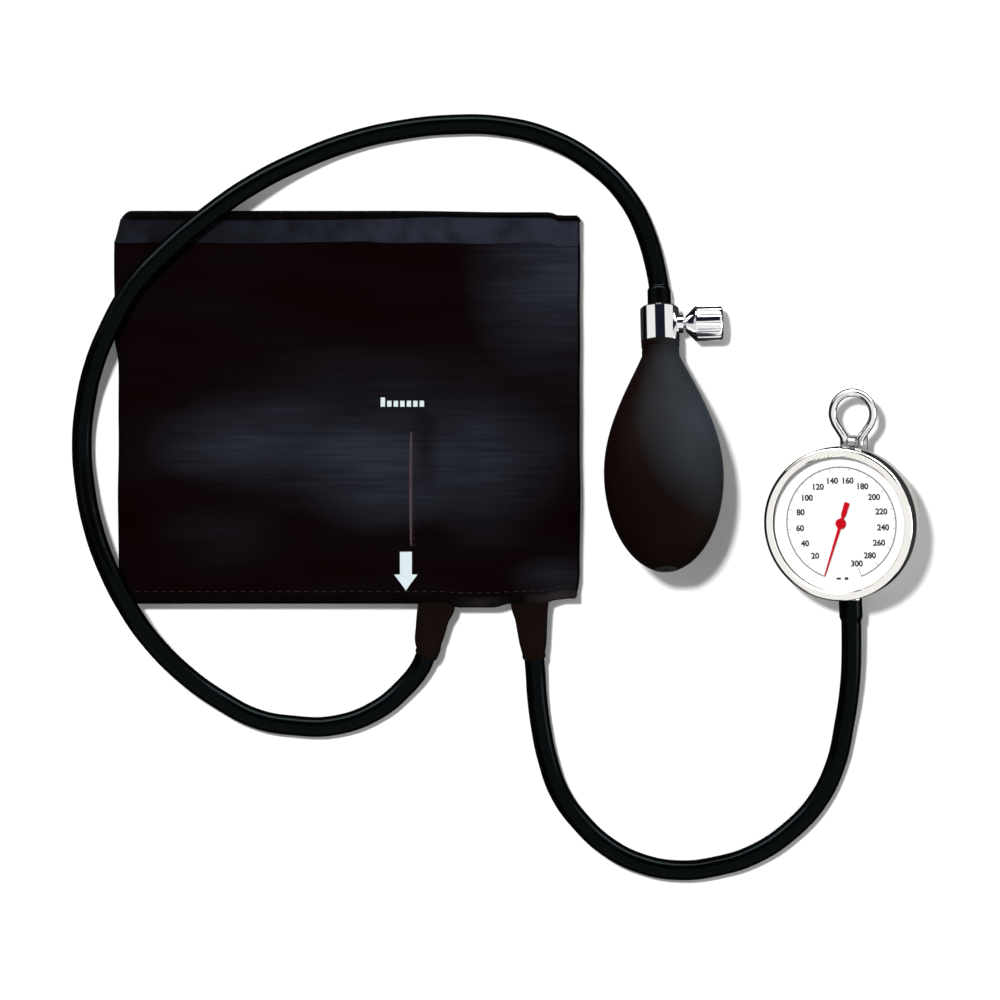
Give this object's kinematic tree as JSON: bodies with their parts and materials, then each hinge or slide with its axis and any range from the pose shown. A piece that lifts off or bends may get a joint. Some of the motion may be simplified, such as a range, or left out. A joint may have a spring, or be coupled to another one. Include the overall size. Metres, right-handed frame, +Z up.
{
  "type": "aneroid sphygmomanometer",
  "caption": "Blood pressure kit laid flat: folded arm cuff, two rubber hoses, hand bulb with release valve, and a round dial gauge with a hanging loop.",
  "frame": {"origin": "centre of the folded cuff's underside, on the surface that it lies on", "axes": "+Z up, +X along the cuff's fold width towards the bulb and the gauge, +Y from the hose edge of the cuff to its bound edge"},
  "size_m": [0.3124, 0.2829, 0.0463],
  "materials": {
    "cover_cloth": "coated nylon, low sheen",
    "lining_cloth": "woven nylon",
    "binding_tape": "woven tape",
    "hook_loop": "hook and loop pile",
    "bladder_rubber": "matt",
    "neck_rubber": "satin",
    "white_print": "printed ink",
    "hose_rubber": "satin",
    "bulb_rubber": "matt",
    "black_plastic": "moulded",
    "steel": "turned",
    "brass": "turned",
    "chrome": "polished",
    "seal_rubber": "matt",
    "nylon": "moulded",
    "crystal": "clear",
    "dial_white": "satin white",
    "scale_ink": "printed ink",
    "pointer_red": "gloss",
    "fibre": "pressed fibre"
  },
  "bodies": {
    "root": {"cuff_cover": "cover_cloth", "cuff_lining": "lining_cloth", "top_binding": "binding_tape", "bottom_binding": "cover_cloth", "hook_panel": "hook_loop", "loop_panel": "hook_loop", "bladder": "bladder_rubber", "inflation_neck": "neck_rubber", "gauge_neck": "neck_rubber", "artery_arrow": "white_print", "bulb_hose": "hose_rubber", "gauge_hose": "hose_rubber", "squeeze_bulb": "bulb_rubber", "intake_valve_body": "black_plastic", "intake_cage": "brass", "valve_body": "chrome", "outlet_seat": "brass", "release_gland": "chrome", "release_seal": "seal_rubber", "gauge_case": "chrome", "bezel": "chrome", "crystal": "crystal", "crystal_gasket": "seal_rubber", "dial": "dial_white", "dial_scale": "scale_ink", "dial_feet": "steel", "hairspring": "steel", "movement_base": "brass", "capsule_lower": "brass", "capsule_upper": "brass", "movement_pillars": "brass", "lower_plate": "brass", "upper_plate": "brass", "plate_screws": "steel", "inlet_stem": "chrome", "inlet_washer": "fibre", "hanger_plate": "steel", "hanger_rivets": "steel"},
    "intake_ball": {"intake_ball": "steel"},
    "outlet_disc": {"outlet_disc": "seal_rubber"},
    "release_plug": {"release_plug": "nylon"},
    "release_screw": {"release_stem": "steel", "release_knob": "chrome"},
    "sector": {"sector_gear": "brass"},
    "pointer_set": {"pointer": "pointer_red", "pinion_arbor": "steel"},
    "rocker": {"rocking_shaft": "steel"},
    "capsule_post": {"capsule_post": "steel"},
    "hanger": {"hanger_loop": "chrome"}
  },
  "joints": [
    {"name": "intake_ball_lift", "type": "slide", "parent": "root", "child": "intake_ball", "axis": [0.0203, -0.9671, 0.2538], "range_m": [0, 0.0005]},
    {"name": "outlet_disc_lift", "type": "slide", "parent": "root", "child": "outlet_disc", "axis": [0.0203, -0.9671, 0.2538], "range_m": [0, 0.0005]},
    {"name": "release_screw_travel", "type": "slide", "parent": "root", "child": "release_plug", "axis": [0.9998, 0.0209, 0], "range_m": [0, 0.0013]},
    {"name": "release_screw_turn", "type": "hinge", "parent": "release_plug", "child": "release_screw", "pos_m": [0.12396, 0.03076, 0.00854], "axis": [0.9998, 0.0209, 0], "range_deg": [0, 540]},
    {"name": "sector_turn", "type": "hinge", "parent": "root", "child": "sector", "pos_m": [0.19398, -0.03657, 0.02249], "axis": [-0.3007, -0.1013, 0.9483], "range_deg": [0, 32.1]},
    {"name": "pointer_turn", "type": "hinge", "parent": "root", "child": "pointer_set", "pos_m": [0.18289, -0.04242, 0.01835], "axis": [0.3007, 0.1013, -0.9483], "range_deg": [0, 322], "deforming": ["hairspring"]},
    {"name": "rocker_turn", "type": "hinge", "parent": "root", "child": "rocker", "pos_m": [0.19068, -0.03692, 0.01677], "axis": [-0.9529, -0.0104, -0.3033], "range_deg": [0, 14.14]},
    {"name": "capsule_post_rise", "type": "slide", "parent": "root", "child": "capsule_post", "axis": [-0.3007, -0.1013, 0.9483], "range_m": [0, 0.00126], "deforming": ["capsule_upper"]},
    {"name": "hanger_swing", "type": "hinge", "parent": "root", "child": "hanger", "pos_m": [0.18626, -0.01294, 0.01171], "axis": [0.9537, -0.0417, 0.2979], "range_deg": [0, 80]}
  ],
  "couplings": [
    {"joint": "release_screw_travel", "follows": "release_screw_turn", "m_per_rad": 0.00012732},
    {"joint": "pointer_turn", "follows": "sector_turn", "ratio": 10},
    {"joint": "rocker_turn", "follows": "sector_turn", "ratio": 0.43727},
    {"joint": "capsule_post_rise", "follows": "sector_turn", "m_per_rad": 0.0022311}
  ]
}
